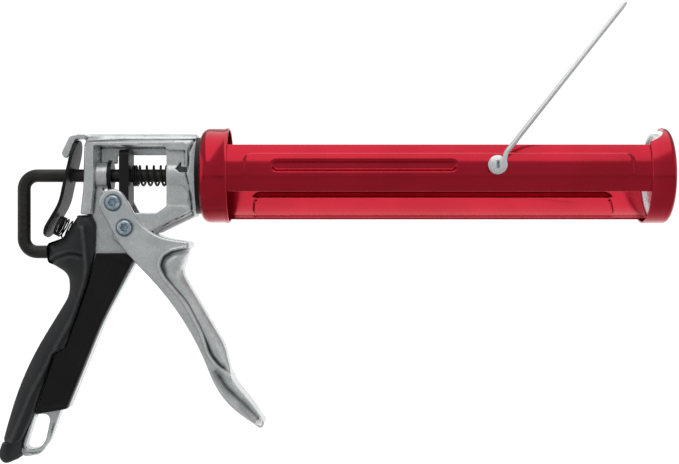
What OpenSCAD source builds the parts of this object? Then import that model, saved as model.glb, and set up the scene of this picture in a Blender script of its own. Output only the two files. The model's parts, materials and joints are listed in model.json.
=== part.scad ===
// Professional caulking gun with a swivel cradle.
// Frame: origin on the rod axis at the inside floor of the cradle's rear cap,
// +X forward along the barrel, +Z up, lengths in millimetres.

/* [View] */
// which piece to show, or all

/* [Cradle] */
// radius over the caps
cap_radius = 27.5; // [26:0.1:32]
// inside length of the cradle
cradle_length = 265.7; // [200:0.1:320]
// thickness of the cap sheet
cap_sheet = 1.2; // [0.8:0.1:2]
// length of the rear cap's skirt
rear_skirt = 15; // [8:0.5:20]
// length of the front cap's skirt
front_skirt = 13; // [8:0.5:20]
// outer radius of the panels
panel_radius = 26.3; // [24:0.1:30]
// thickness of the panel sheet
panel_sheet = 1.1; // [0.8:0.1:2]
// half the angle that one panel covers
panel_half_angle = 31.2; // [20:0.2:45]
// angle from the loading opening to each panel's middle
panel_offset = 109; // [90:1:130]
// how far the cradle is swivelled from opening straight up
cradle_turn = 28; // [0:1:180]
// half the angle of a panel's long pressed rib
rib_half_angle = 18; // [8:1:25]
// height of the pressed rib
rib_height = 0.7; // [0.2:0.1:1.5]
// half the width of the wire storage groove
groove_half_width = 3; // [2:0.1:5]
// depth of the storage groove below the pressed rib
groove_depth = 1.9; // [1:0.1:3]
// half the width of the nozzle slot
nozzle_half_width = 9; // [6:0.5:14]

/* [Frame] */
// radius of the flange behind the cradle
flange_radius = 23.9; // [20:0.1:27]
// radius of the front boss
neck_radius = 11; // [9:0.5:14]
// half the width over the frame's ribs
frame_half_width = 12; // [9:0.5:15]
// half the width of the lower bar between the trigger's cheeks
bar_half_width = 9.9; // [7:0.1:11]
// half the thickness of the web and the handle core
web_half_width = 4.5; // [3:0.5:7]
// height of the crowned top over the rod axis
crown_height = 24; // [20:0.5:30]

/* [Trigger] */
// outer half width over the fork's cheeks
cheek_outer = 14.5; // [12:0.1:18]
// inner half width between the cheeks
cheek_inner = 10.3; // [9:0.1:13]
// lower pivot's position along the barrel
pivot_x = -43.8; // [-50:0.1:-38]
// lower pivot's height
pivot_z = -30; // [-35:0.1:-25]
// upper pin's position along the barrel
drive_x = -50.4; // [-55:0.1:-45]
// upper pin's height
drive_z = -15.8; // [-20:0.1:-10]
// radius of the two pins
pin_radius = 2.5; // [2:0.1:3]
// radius of the screw heads
screw_head_radius = 4.1; // [3.5:0.1:6]

/* [Rod] */
// radius of the push rod
rod_radius = 3.75; // [3:0.05:5]
// front end of the rod
rod_front = 265; // [200:0.5:300]
// position of the pull loop's upright leg
loop_x = -104; // [-120:0.5:-95]
// drop of the pull loop's lower leg
loop_drop = 44; // [30:0.5:60]
// end of the lower leg beside the beak
loop_end = -90.6; // [-95:0.1:-88]
// centreline radius of the loop's bends
loop_bend = 7.7; // [6:0.1:12]
// radius of the piston
piston_radius = 24.2; // [20:0.1:25]

/* [Wire] */
// radius of the piercing wire
wire_radius = 1.5; // [1:0.1:2]
// distance from the rear cap's floor to the wire's rivet
rivet_x = 166; // [120:0.5:200]
// length of the wire from the rivet to the tip
wire_length = 120.3; // [80:1:140]
// angle of the raised wire over the barrel
wire_angle = 51.7; // [0:0.1:90]
// radius of the rivet's head
rivet_head_radius = 5.4; // [4:0.1:7]

/* [Plates and springs] */
// half the width of the drive plates
plate_half_width = 9.7; // [8:0.1:12]
// thickness of one drive plate
plate_thickness = 2.8; // [2:0.1:4]
// rear face of the drive plates
plate_x = -47.7; // [-50:0.1:-40]
// half the width of the thumb release plate
catch_half_width = 13.5; // [10:0.5:16]
// outer radius of the return spring
spring_radius = 6.3; // [5.5:0.1:8]
// turns of the return spring
spring_turns = 6; // [3:1:12]

/* [Hidden] */
$fn = 64;
running_gap = 0.06;
small_gap = 0.3;
front_plane = cradle_length + cap_sheet;
rear_plane = -cap_sheet;
panel_inner = panel_radius - panel_sheet;
cap_inner = panel_radius + 0.1;
side_angle = 118 - panel_offset;
back_angle = 118 + panel_offset;
rivet_surface = panel_radius + rib_height;
wire_plane = cap_radius + wire_radius + 0.1;
flange_front = rear_plane - 2.3;
sleeve_radius = 9;
sleeve_start = -16;
ring_start = 0.35;
ring_length = 2.6;
bush_radius = 5.2;
window_front = -20.7;
column_rear = -67.2;
near_bottom = 17;
rib_top = 20.4;
window_bottom = -21.5;
aluminium = [0.68, 0.7, 0.7];
red_paint = [0.7, 0.03, 0.12];
black_steel = [0.11, 0.11, 0.11];
black_plastic = [0.14, 0.15, 0.15];
zinc = [0.75, 0.78, 0.8];

// points of an outline whose corners [x, y, radius] are rounded by arcs
function unit(v) = v / norm(v);
function corner_arc(p, q, r, n) =
    let(
        a = [q[0], q[1]],
        u = unit([p[0], p[1]] - a),
        v = unit([r[0], r[1]] - a),
        half = acos(max(-1, min(1, u * v))) / 2,
        middle = a + unit(u + v) * q[2] / sin(half),
        s = a + u * q[2] / tan(half) - middle,
        e = a + v * q[2] / tan(half) - middle,
        a0 = atan2(s[1], s[0]),
        turn = atan2(e[1], e[0]) - a0,
        sweep = turn > 180 ? turn - 360 : (turn < -180 ? turn + 360 : turn)
    )
    [for (i = [0:n]) middle + q[2] * [cos(a0 + sweep * i / n), sin(a0 + sweep * i / n)]];
function rounded(c, n = 6) =
    let(k = len(c))
    [
        for (i = [0:k - 1])
            each (c[i][2] > 0
                ? corner_arc(c[(i + k - 1) % k], c[i], c[(i + 1) % k], n)
                : [[c[i][0], c[i][1]]])
    ];

// a side-view outline given a width across the gun
module side(width) {
    rotate([90, 0, 0]) linear_extrude(height = width, center = true) children();
}

// a solid turned about the rod's axis; the profile is [radius, x]
module about_rod() {
    rotate([0, 90, 0]) rotate_extrude() children();
}

// a rod-axis cylinder between two stations
module rod_cylinder(start, end, radius) {
    translate([start, 0, 0]) rotate([0, 90, 0]) cylinder(h = end - start, r = radius);
}

// a pin across the gun
module cross_pin(x, z, radius, from_y, to_y) {
    translate([x, to_y, z]) rotate([90, 0, 0]) cylinder(h = to_y - from_y, r = radius);
}

// a box between two corners
module block(low, high) {
    translate(low) cube(high - low);
}

// part of a ring round the barrel: 0 is the near side, 90 the top, 180 the far side
module barrel_sector(from_angle, to_angle) {
    rotate([0, 90, 0])
        rotate([0, 0, -90 - to_angle])
            rotate_extrude(angle = to_angle - from_angle) children();
}

// a shape drawn on the barrel's surface at one angle, running outwards
module radial(angle, start, height) {
    rotate([90 - angle, 0, 0])
        translate([0, 0, start])
            linear_extrude(height = height) children();
}

module long_slot(start, end, half_width) {
    translate([start + half_width, -half_width])
        square([end - start - 2 * half_width, 2 * half_width]);
    translate([start + half_width, 0]) circle(r = half_width);
    translate([end - half_width, 0]) circle(r = half_width);
}

module radius_band(start, end, inner, outer) {
    translate([inner, start]) square([outer - inner, end - start]);
}

rib_start = 24.4;
rib_end = 243;
rib_half_width = rivet_surface * sin(rib_half_angle);
groove_start = 40.5;
groove_end = 143.4;

// one curved panel with its long pressed rib
module panel(angle) {
    panel_start = 4.7;
    panel_end = cradle_length - 3.2;
    difference() {
        union() {
            barrel_sector(angle - panel_half_angle, angle + panel_half_angle)
                radius_band(panel_start, panel_end, panel_inner, panel_radius);
            intersection() {
                barrel_sector(angle - panel_half_angle, angle + panel_half_angle)
                    radius_band(rib_start, rib_end, panel_radius - 0.2, rivet_surface);
                radial(angle, panel_inner - 3, 2 * panel_inner)
                    long_slot(rib_start, rib_end, rib_half_width);
            }
        }
        intersection() {
            barrel_sector(angle - panel_half_angle, angle + panel_half_angle)
                radius_band(rib_start, rib_end, panel_inner - 1, panel_inner + rib_height);
            radial(angle, panel_inner - 4, 2 * panel_inner)
                long_slot(rib_start + 1, rib_end - 1, rib_half_width - 1);
        }
    }
}

module cradle_panel_side() color(red_paint) {
    groove_floor = rivet_surface - groove_depth;
    difference() {
        union() {
            panel(side_angle);
            intersection() {
                barrel_sector(side_angle - 15, side_angle + 15)
                    radius_band(groove_start - 1, groove_end + 1, groove_floor - 0.6, rivet_surface - 0.2);
                radial(side_angle, panel_inner - 4, 2 * panel_inner)
                    long_slot(groove_start - 1, groove_end + 1, groove_half_width + 1);
            }
        }
        intersection() {
            barrel_sector(side_angle - 15, side_angle + 15)
                radius_band(groove_start, groove_end, groove_floor, rivet_surface + 2);
            radial(side_angle, panel_inner - 4, 2 * panel_inner)
                long_slot(groove_start, groove_end, groove_half_width);
        }
        radial(side_angle, panel_inner - 4, 2 * panel_inner)
            translate([rivet_x, 0]) circle(r = 2.2);
    }
}

module cradle_panel_back() color(red_paint) {
    panel(back_angle);
}

// wall section of a cap whose floor is at x = 0 and whose skirt runs to +x
module cap_section(bend, skirt, bore) {
    difference() {
        union() {
            translate([bore, 0]) square([cap_radius - bend - bore, cap_sheet]);
            translate([cap_inner, bend]) square([cap_radius - cap_inner, skirt + cap_sheet - bend]);
            translate([cap_radius - bend, bend]) circle(r = bend);
        }
        translate([cap_radius - bend, bend]) circle(r = bend - cap_sheet);
        translate([bore, cap_sheet]) square([cap_radius - bend - bore, skirt]);
        translate([bore, bend]) square([cap_inner - bore, skirt + cap_sheet]);
    }
}

module cradle_rear_cap() color(red_paint) {
    translate([rear_plane, 0, 0])
        about_rod() cap_section(5, rear_skirt, sleeve_radius + running_gap);
}

module cradle_front_cap() color(red_paint) {
    cut_x = 247;
    cut_u = 22;
    cut_radius = 16.3;
    difference() {
        translate([front_plane, 0, 0])
            mirror([1, 0, 0])
                about_rod() cap_section(2.6, front_skirt, 0);
        rotate([-cradle_turn, 0, 0]) {
            translate([cut_x, 40, cut_u])
                rotate([90, 0, 0]) cylinder(h = 80, r = cut_radius);
            rod_cylinder(cradle_length - 5, front_plane + 5, nozzle_half_width);
            block(
                [cradle_length - 20, -nozzle_half_width, 0],
                [front_plane + 5, nozzle_half_width, 40]
            );
        }
    }
}

module wire_rivet() color(zinc) {
    head_height = 1.7;
    shank_radius = 2.1;
    slot = [1.4, 4.6];
    slot_depth = 0.9;
    eye_top = wire_plane + wire_radius + small_gap;
    difference() {
        union() {
            translate([rivet_x, 0, 0])
                radial(side_angle, panel_inner - 1.2, eye_top - panel_inner + 1.4)
                    circle(r = shank_radius);
            translate([rivet_x, 0, 0])
                radial(side_angle, eye_top, head_height) circle(r = rivet_head_radius);
            translate([rivet_x, 0, 0])
                radial(side_angle, panel_inner - 1.8, 1.1) circle(r = shank_radius + 1.4);
        }
        translate([rivet_x, 0, 0])
            radial(side_angle, eye_top + head_height - slot_depth, 3)
                square(slot, center = true);
    }
}

module pierce_wire() color(zinc) {
    eye_radius = 2.1 + running_gap + wire_radius;
    cone = 2.5;
    rotate([90 - side_angle, 0, 0])
        translate([rivet_x, 0, wire_plane]) {
            rotate_extrude() translate([eye_radius, 0]) circle(r = wire_radius, $fn = 32);
            rotate([0, 0, wire_angle])
                translate([eye_radius, 0, 0]) rotate([0, 90, 0]) {
                    cylinder(h = wire_length - eye_radius - cone, r = wire_radius);
                    translate([0, 0, wire_length - eye_radius - cone])
                        cylinder(h = cone, r1 = wire_radius, r2 = wire_radius - 0.5);
                }
        }
}

// aluminium frame
module trumpet() {
    flare = 8;
    difference() {
        about_rod() difference() {
            union() {
                radius_band(flange_front - 1.8, flange_front, 0, flange_radius);
                radius_band(flange_front - 1.8 - flare, flange_front - 1.7, 0, neck_radius + flare);
            }
            translate([neck_radius + flare, flange_front - 1.8 - flare]) circle(r = flare);
        }
    }
}

module top_bar() {
    crown_radius = 20.8;
    translate([column_rear, 0, 0])
        rotate([90, 0, 90])
            linear_extrude(height = flange_front - 1.8 - column_rear)
                intersection() {
                    translate([0, crown_height - crown_radius]) circle(r = crown_radius);
                    translate([-frame_half_width, near_bottom])
                        square([2 * frame_half_width, 10]);
                }
}

bead_front = [[-45, -44.6, 0], [-38.8, -49.5, 1.5], [-57.2, -84, 200], [-77.2, -133.4, 1]];
insert_front = [[-45, -44.6, 0], [-39.8, -47.9, 1.5], [-58.2, -84, 200], [-78.2, -133.6, 0.5]];
core_outline = concat(
    [[-66.3, -20, 0], [-60, -20, 0], [-58.5, -30, 0]],
    bead_front,
    [
        [-81.8, -134.6, 1], [-88, -152, 14], [-94, -160.4, 6],
        [-105.6, -162, 3], [-104, -154, 3], [-97, -137, 4], [-89, -112, 60],
        [-70.5, -76, 60], [-66.3, -52, 20]
    ]
);
slot_outline = [
    [-96.8, -137.6, 2], [-87.2, -136.4, 3.6], [-91, -154, 10],
    [-94.8, -156.8, 3], [-102.9, -157.8, 2.5]
];
insert_outline = concat(
    [[-58.9, -44.6, 0]],
    insert_front,
    [[-95.6, -136.8, 0], [-84.2, -101.5, 0], [-78, -99, 0], [-66, -64, 30], [-61.6, -44.6, 0]]
);
soft_outline = [
    [-64.2, -22.6, 3], [-72.5, -23, 3], [-80.2, -35.5, 3], [-90, -39.2, 2.5],
    [-90.2, -49.6, 2.5], [-77.4, -56.5, 8], [-76.5, -68, 16], [-103.5, -112, 180],
    [-113, -145, 60], [-115, -153, 3], [-104, -152, 3], [-97.1, -137, 3],
    [-85.6, -101.8, 0], [-78.6, -98.6, 0], [-66.6, -64, 30], [-61.9, -45, 6], [-61.4, -28, 5]
];
bumper_outline = [
    [-115, -153.4, 0], [-117.6, -160.5, 3], [-114, -166, 3], [-104.8, -161.9, 2.5], [-104.2, -152.6, 0]
];

module lens_section(half_thickness, half_depth, centre) {
    r = (half_depth * half_depth + half_thickness * half_thickness) / (2 * half_thickness);
    intersection() {
        translate([centre, r - half_thickness]) circle(r = r, $fn = 128);
        translate([centre, half_thickness - r]) circle(r = r, $fn = 128);
    }
}

// a long bar with lens-shaped section, lying along the handle
module handle_lens(half_thickness, half_depth, centre) {
    translate([-62, 0, -45])
        rotate([0, 21, 0])
            translate([0, 0, -150])
                linear_extrude(height = 220)
                    lens_section(half_thickness, half_depth, centre);
}

// lower bar: a wide plate between the trigger's cheeks over a thin lower flange
module lower_bar() {
    side(2 * web_half_width)
        polygon([
            [-62.5, -20], [-57.5, window_bottom], [window_front, window_bottom], [-9.9, -22],
            [-5.6, -21], [-5.6, -24.1], [-24.2, -32.9], [-27.6, -33.2], [-30, -35],
            [-45, -45], [-60, -45]
        ]);
    side(2 * bar_half_width)
        polygon([
            [-51, window_bottom], [-26, window_bottom], [window_front, -17.8],
            [-10, -17.8], [-7, -20.2], [-28.8, -31.4], [-43, -43.2], [-51, -36]
        ]);
    side(2 * bar_half_width)
        translate([pivot_x, pivot_z]) circle(r = 6.6);
}

module front_block() {
    side(2 * 9.5)
        polygon(rounded([
            [window_front, 18, 0], [-8.5, 18, 0], [-8.5, -19.2, 0], [window_front, -17.7, 0]
        ]));
    rod_cylinder(window_front, flange_front - 3, neck_radius);
    side(2 * frame_half_width)
        polygon([
            [window_front - 1, near_bottom - 0.1], [window_front + 1.5, 14.2], [-9, 14.2],
            [-6, rib_top - 1], [-6, rib_top]
        ]);
}

module rear_column() {
    side(2 * frame_half_width)
        polygon(rounded([
            [column_rear, crown_height - 3.9, 5], [-61.6, crown_height - 3.9, 0],
            [-61.9, -8, 0], [-63.3, -22.4, 0], [-69.5, -22.4, 0], [-67.8, -8, 0]
        ]));
    rod_cylinder(-66, -54.9, 8);
    block([-62.5, 10.3, 12.4], [window_front + 0.5, frame_half_width, near_bottom + 0.5]);
    block([-62.5, 10.3, 7.4], [-51.6, frame_half_width, near_bottom]);
    block([-63, -web_half_width, -24], [-58, web_half_width, -7]);
}

module top_lug() {
    side(13)
        polygon(rounded([
            [-65, 23.4, 0], [-71.5, 23.7, 1], [-76.8, 22.4, 2], [-81.4, 12.6, 1.5],
            [-79.4, 9.6, 1.2], [-77, 10.8, 0.8], [-73.3, 20.9, 1], [-65, 20.9, 0]
        ]));
}

module frame_casting() color(aluminium) {
    difference() {
        union() {
            trumpet();
            top_bar();
            front_block();
            rear_column();
            top_lug();
            lower_bar();
            side(2 * web_half_width) polygon(rounded(core_outline));
        }
        rod_cylinder(-80, 10, rod_radius + 0.35);
        rod_cylinder(-60, -50, bush_radius);
        rod_cylinder(window_front - 1, sleeve_start, bush_radius);
        rod_cylinder(sleeve_start, 10, sleeve_radius - 1.5);
        cross_pin(pivot_x, pivot_z, pin_radius, -20, 20);
        side(40) polygon(rounded(slot_outline));
    }
}

module core_space() {
    side(2 * web_half_width + 0.1) polygon(rounded(core_outline));
}

module grip_soft() color(black_plastic) {
    difference() {
        intersection() {
            side(30) polygon(rounded(soft_outline));
            union() {
                handle_lens(14.3, 21, 4);
                intersection() {
                    handle_lens(14.3, 34, 2);
                    block([-120, -20, -62], [-40, 20, 0]);
                }
            }
        }
        core_space();
        block([-70, -20, -22.5], [-55, 20, -10]);
        translate([catch_spring_end[0], 0, catch_spring_end[1]])
            rotate([0, -catch_spring_tilt, 0])
                translate([0, 0, -0.1]) cylinder(h = 14, r = catch_spring_radius + 0.5);
    }
}

module grip_insert() color(black_plastic) {
    difference() {
        intersection() {
            side(2 * bar_half_width) polygon(rounded(insert_outline));
            handle_lens(14.3, 21, 4);
        }
        core_space();
        side(2 * bar_half_width + 1)
            polygon([[-26, -31.2], [-26, -33], [-43, -44.2], [-52, -42], [-52, -36]]);
    }
}

module grip_bumper() color(black_plastic) {
    difference() {
        intersection() {
            side(24) polygon(rounded(bumper_outline));
            handle_lens(11.6, 24, 4);
        }
        core_space();
    }
}

module guide_bush(start, length, collar) {
    difference() {
        union() {
            rod_cylinder(start, start + length + collar, bush_radius - 0.05);
            if (collar > 0)
                rod_cylinder(start + length + running_gap, start + length + collar, 8.9);
        }
        rod_cylinder(start - 1, start + length + collar + 1, rod_radius + 0.15);
    }
}

module rear_guide_bush() color(black_plastic) guide_bush(-60, 5.1, 2.2);
module front_guide_bush() color(black_plastic) guide_bush(window_front, 4.7, 0);

module swivel_sleeve() color(zinc) {
    difference() {
        union() {
            rod_cylinder(sleeve_start, flange_front + 0.01, sleeve_radius - 1.5);
            rod_cylinder(flange_front, ring_start + ring_length + 1, sleeve_radius);
        }
        rod_cylinder(sleeve_start - 1, 20, rod_radius + 0.35);
    }
}

module swivel_washer() color(black_plastic) {
    difference() {
        rod_cylinder(flange_front, rear_plane - 0.05, 22);
        rod_cylinder(flange_front - 1, 0, sleeve_radius + 0.05);
    }
}

module swivel_lock_ring() color(zinc) {
    difference() {
        rod_cylinder(ring_start, ring_start + ring_length, 15);
        rod_cylinder(ring_start - 1, 10, sleeve_radius);
    }
}

// a stack of spring turns along local z, joined by a thin bar
module coil(length, turns, outer, wire_r) {
    step = (length - 2 * wire_r) / turns;
    for (i = [0:turns])
        translate([0, 0, wire_r + i * step])
            rotate_extrude() translate([outer - wire_r, 0]) circle(r = wire_r, $fn = 24);
    translate([outer - wire_r, 0, wire_r])
        cylinder(h = length - 2 * wire_r, r = wire_r / 2, $fn = 24);
}

spring_start = plate_x + 2 * plate_thickness + 0.4;
module return_spring() color(black_steel) {
    translate([spring_start, 0, 0])
        rotate([0, 90, 0])
            coil(window_front - spring_start - 0.1, spring_turns, spring_radius, 0.7);
}

catch_spring_end = [-77.3, -31.9];
catch_spring_length = 8.6;
catch_spring_tilt = 64.2;
catch_spring_radius = 6.1;
module catch_spring() color(black_steel) {
    translate([catch_spring_end[0], 0, catch_spring_end[1]])
        rotate([0, -catch_spring_tilt, 0])
            coil(catch_spring_length, 5, catch_spring_radius, 0.5);
}

module screw_recess(x, z, face_y) {
    cross_pin(x, z, 2.1, face_y, face_y + 1.2);
}

module headed_pin(x, z, radius, head_y, tail_y) {
    difference() {
        union() {
            cross_pin(x, z, radius, head_y, tail_y);
            cross_pin(x, z, screw_head_radius, head_y - 1.5, head_y);
        }
        screw_recess(x, z, head_y - 1.51);
    }
}

module pivot_screw() color(zinc)
    headed_pin(pivot_x, pivot_z, pin_radius, -cheek_outer - small_gap, cheek_outer + 2.6);

module pivot_nut() color(zinc) difference() {
    translate([pivot_x, cheek_outer + 3.3, pivot_z])
        rotate([90, 0, 0]) cylinder(h = 3, r = 4.6, $fn = 6);
    cross_pin(pivot_x, pivot_z, pin_radius, 0, 30);
}

module trigger_lever() color(aluminium) {
    outline = [
        [-47.5, -5, 7.8], [-61.2, -12.9, 7.8], [-46.2, -40.9, 50], [-7.7, -81.7, 165],
        [10.3, -128.3, 50], [33.4, -144.3, 1.8], [35.7, -141.9, 1.5], [29.8, -132.6, 60],
        [17, -117.4, 25], [12.4, -97.5, 30], [-12.2, -55.8, 8], [-6.4, -38.3, 2],
        [-31.8, -34.5, 28]
    ];
    fork_space = [
        [-70, 0, 0], [-28, 0, 0], [-27, -36.5, 0], [-12.5, -41, 3], [-17.5, -54.5, 8],
        [-12, -64, 0], [-26, -80, 0], [-70, -80, 0]
    ];
    lower_space = [
        [-13, -62, 0], [-4.3, -74, 40], [9.5, -102, 30], [13, -114, 30], [24, -131.5, 8],
        [16, -140, 0], [-26, -79, 0]
    ];
    difference() {
        side(2 * cheek_outer) polygon(rounded(outline, 8));
        side(2 * cheek_inner) polygon(rounded(fork_space));
        side(2 * 8.3) polygon(rounded(lower_space));
        cross_pin(pivot_x, pivot_z, pin_radius + running_gap, -20, 20);
        cross_pin(drive_x, drive_z, pin_radius - 0.4 + running_gap, -20, 20);
    }
}

module drive_screw() color(zinc)
    headed_pin(drive_x, drive_z, pin_radius - 0.4, -cheek_outer, cheek_outer + 2.6);

module drive_nut() color(zinc) difference() {
    translate([drive_x, cheek_outer + 3, drive_z])
        rotate([90, 0, 0]) cylinder(h = 3, r = 4.4, $fn = 6);
    cross_pin(drive_x, drive_z, pin_radius - 0.4, 0, 30);
}

module drive_roller() color(black_steel) difference() {
    cross_pin(drive_x, drive_z, pin_radius - 0.1, -cheek_inner + 0.1, cheek_inner - 0.1);
    cross_pin(drive_x, drive_z, pin_radius - 0.4, -20, 20);
}

// a drive plate rounded across the top and straight below
module drive_plate(start) {
    translate([start, 0, 0])
        rotate([90, 0, 90])
            linear_extrude(height = plate_thickness)
                difference() {
                    polygon(rounded([
                        [-plate_half_width, 14.9, 4], [plate_half_width, 14.9, 4],
                        [plate_half_width, -20, 1], [-plate_half_width, -20, 1]
                    ]));
                    circle(r = rod_radius + 0.35);
                }
}

module drive_plate_rear() color(black_steel) drive_plate(plate_x);
module drive_plate_front() color(black_steel) drive_plate(plate_x + plate_thickness);

// side outline of the thumb release plate, top to bottom
module catch_plate() color(black_steel) {
    front = [[-71, 19.9], [-76.7, -4.1], [-78.9, -13.8], [-82, -21.8], [-86.9, -29.2], [-89.7, -35.2]];
    outline = concat(
        front,
        [
            [-91.5, -34.4], [-88.7, -28], [-83.8, -20.8], [-80.8, -13.3], [-78.6, -3.7], [-72.9, 20.3]
        ]
    );
    difference() {
        side(2 * catch_half_width) polygon(outline);
        for (lift = [-0.6, 0.6]) translate([0, 0, lift]) rod_cylinder(-90, -70, rod_radius + 0.35);
        for (turn = [-1, 1])
            translate([-60, turn * 20.5, 19]) rotate([0, -90, 0])
                cylinder(h = 40, r = 12.5);
    }
}

module push_rod() color(black_steel) {
    rod_cylinder(loop_x + loop_bend, rod_front, rod_radius);
    for (lower = [0, 1])
        translate([loop_x + loop_bend, 0, lower ? loop_bend - loop_drop : -loop_bend])
            rotate([90, 0, 0])
                rotate([0, 0, lower ? 180 : 90])
                    rotate_extrude(angle = 90) translate([loop_bend, 0]) circle(r = rod_radius);
    translate([loop_x, 0, loop_bend - loop_drop])
        cylinder(h = loop_drop - 2 * loop_bend, r = rod_radius);
    translate([0, 0, -loop_drop]) rod_cylinder(loop_x + loop_bend, loop_end, rod_radius);
}

module piston_disc() color(zinc) difference() {
    union() {
        rod_cylinder(259.5, 261, piston_radius);
        about_rod() difference() {
            radius_band(258, 260, piston_radius - 1.4, piston_radius);
        }
    }
    rod_cylinder(250, 270, rod_radius);
}

module piston_washer() color(zinc) difference() {
    rod_cylinder(257.9, 259.5, 8);
    rod_cylinder(250, 270, rod_radius);
}

module piston_nut() color(zinc) difference() {
    translate([261, 0, 0]) rotate([0, 90, 0]) cylinder(h = 3.6, r = 7, $fn = 6);
    rod_cylinder(250, 270, rod_radius);
}

frame_casting();
grip_soft();
grip_insert();
grip_bumper();
rear_guide_bush();
front_guide_bush();
swivel_sleeve();
swivel_washer();
swivel_lock_ring();
return_spring();
catch_spring();
pivot_screw();
pivot_nut();
trigger_lever();
drive_screw();
drive_nut();
drive_roller();
drive_plate_rear();
drive_plate_front();
catch_plate();
push_rod();
piston_disc();
piston_washer();
piston_nut();
cradle_rear_cap();
cradle_front_cap();
cradle_panel_side();
cradle_panel_back();
wire_rivet();
pierce_wire();
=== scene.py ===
"""Looks for the caulking gun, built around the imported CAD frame.

Lengths are in millimetres until a mesh is made; the frame itself is in metres.
X runs forward along the barrel, Z is up and -Y is the side with the piercing wire.
"""

import json
import math

import bmesh
import bpy
import numpy as np
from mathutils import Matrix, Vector, geometry

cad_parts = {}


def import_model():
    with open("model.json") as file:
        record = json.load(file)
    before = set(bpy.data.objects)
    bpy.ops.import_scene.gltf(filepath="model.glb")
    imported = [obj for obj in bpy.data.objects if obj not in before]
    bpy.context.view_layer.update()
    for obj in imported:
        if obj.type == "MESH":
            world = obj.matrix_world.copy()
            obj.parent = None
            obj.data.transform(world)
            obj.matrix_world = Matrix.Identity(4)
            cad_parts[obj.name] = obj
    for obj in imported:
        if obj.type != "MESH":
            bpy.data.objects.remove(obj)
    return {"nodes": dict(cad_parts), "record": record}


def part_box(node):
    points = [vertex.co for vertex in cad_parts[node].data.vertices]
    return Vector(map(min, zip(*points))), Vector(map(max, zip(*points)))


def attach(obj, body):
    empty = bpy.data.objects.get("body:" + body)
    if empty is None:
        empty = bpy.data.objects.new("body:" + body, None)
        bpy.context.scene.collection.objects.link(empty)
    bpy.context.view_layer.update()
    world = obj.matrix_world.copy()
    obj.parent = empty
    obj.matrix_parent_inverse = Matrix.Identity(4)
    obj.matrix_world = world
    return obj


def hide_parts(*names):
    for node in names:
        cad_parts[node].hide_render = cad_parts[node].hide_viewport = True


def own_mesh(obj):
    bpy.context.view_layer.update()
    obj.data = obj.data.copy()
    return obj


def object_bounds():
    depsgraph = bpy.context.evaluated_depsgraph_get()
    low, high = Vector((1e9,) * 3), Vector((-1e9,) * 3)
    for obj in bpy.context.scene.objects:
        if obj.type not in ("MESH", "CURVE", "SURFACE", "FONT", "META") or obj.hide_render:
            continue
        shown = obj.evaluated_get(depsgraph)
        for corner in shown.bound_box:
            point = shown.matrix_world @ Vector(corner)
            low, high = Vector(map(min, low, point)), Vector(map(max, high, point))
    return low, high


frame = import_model()
cad_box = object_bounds()

MM = 0.001
WELD = 0.002 * MM
NODES = frame["nodes"]
BODY_OF = {
    node: body
    for body, nodes in frame["record"]["behaviour"]["bodies"].items()
    for node in nodes
}


# ---------------------------------------------------------------- materials

def new_material(name, base, roughness, metallic=0.0):
    """A Principled material, with its node tree's handles."""
    material = bpy.data.materials.new(name)
    material.use_nodes = True
    tree = material.node_tree
    shader = tree.nodes["Principled BSDF"]
    shader.inputs["Base Color"].default_value = (*base, 1)
    shader.inputs["Roughness"].default_value = roughness
    shader.inputs["Metallic"].default_value = metallic
    return material, tree, shader


def coordinates(tree, scale=(1, 1, 1)):
    """Object coordinates in millimetres, so that texture sizes are real sizes."""
    coord = tree.nodes.new("ShaderNodeTexCoord")
    mapping = tree.nodes.new("ShaderNodeMapping")
    mapping.inputs["Scale"].default_value = [s / MM for s in scale]
    tree.links.new(coord.outputs["Object"], mapping.inputs["Vector"])
    return mapping.outputs["Vector"]


def noise(tree, vector, size, detail=3.0, distortion=0.0):
    """Noise whose blobs are about `size` millimetres across."""
    node = tree.nodes.new("ShaderNodeTexNoise")
    node.inputs["Scale"].default_value = 1 / size
    node.inputs["Detail"].default_value = detail
    node.inputs["Distortion"].default_value = distortion
    tree.links.new(vector, node.inputs["Vector"])
    return node.outputs["Fac"]


def ramp(tree, value, stops):
    """A colour ramp over (position, colour) stops."""
    node = tree.nodes.new("ShaderNodeValToRGB")
    elements = node.color_ramp.elements
    while len(elements) < len(stops):
        elements.new(0.5)
    for element, (position, colour) in zip(elements, stops):
        element.position = position
        element.color = (*colour, 1)
    tree.links.new(value, node.inputs["Fac"])
    return node.outputs["Color"]


def remap(tree, value, low, high, start=0.3, end=0.7):
    """The value's stretch start..end, clamped and mapped onto low..high."""
    node = tree.nodes.new("ShaderNodeMapRange")
    node.inputs["From Min"].default_value = start
    node.inputs["From Max"].default_value = end
    node.inputs["To Min"].default_value = low
    node.inputs["To Max"].default_value = high
    tree.links.new(value, node.inputs["Value"])
    return node.outputs["Result"]


def mix(tree, factor, a, b):
    """Mixes two colours by a factor socket; each colour is a socket or a constant."""
    node = tree.nodes.new("ShaderNodeMix")
    node.data_type = "RGBA"
    for name, kind, value in (("Factor", "VALUE", factor), ("A", "RGBA", a), ("B", "RGBA", b)):
        socket = next(s for s in node.inputs if s.name == name and s.type == kind)
        if isinstance(value, bpy.types.NodeSocket):
            tree.links.new(value, socket)
        else:
            socket.default_value = (*value, 1)
    return next(s for s in node.outputs if s.type == "RGBA")


def math_node(tree, operation, a, b):
    """One arithmetic step; a is a socket, and b a socket or a number."""
    node = tree.nodes.new("ShaderNodeMath")
    node.operation = operation
    tree.links.new(a, node.inputs[0])
    if isinstance(b, bpy.types.NodeSocket):
        tree.links.new(b, node.inputs[1])
    else:
        node.inputs[1].default_value = b
    return node.outputs["Value"]


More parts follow.
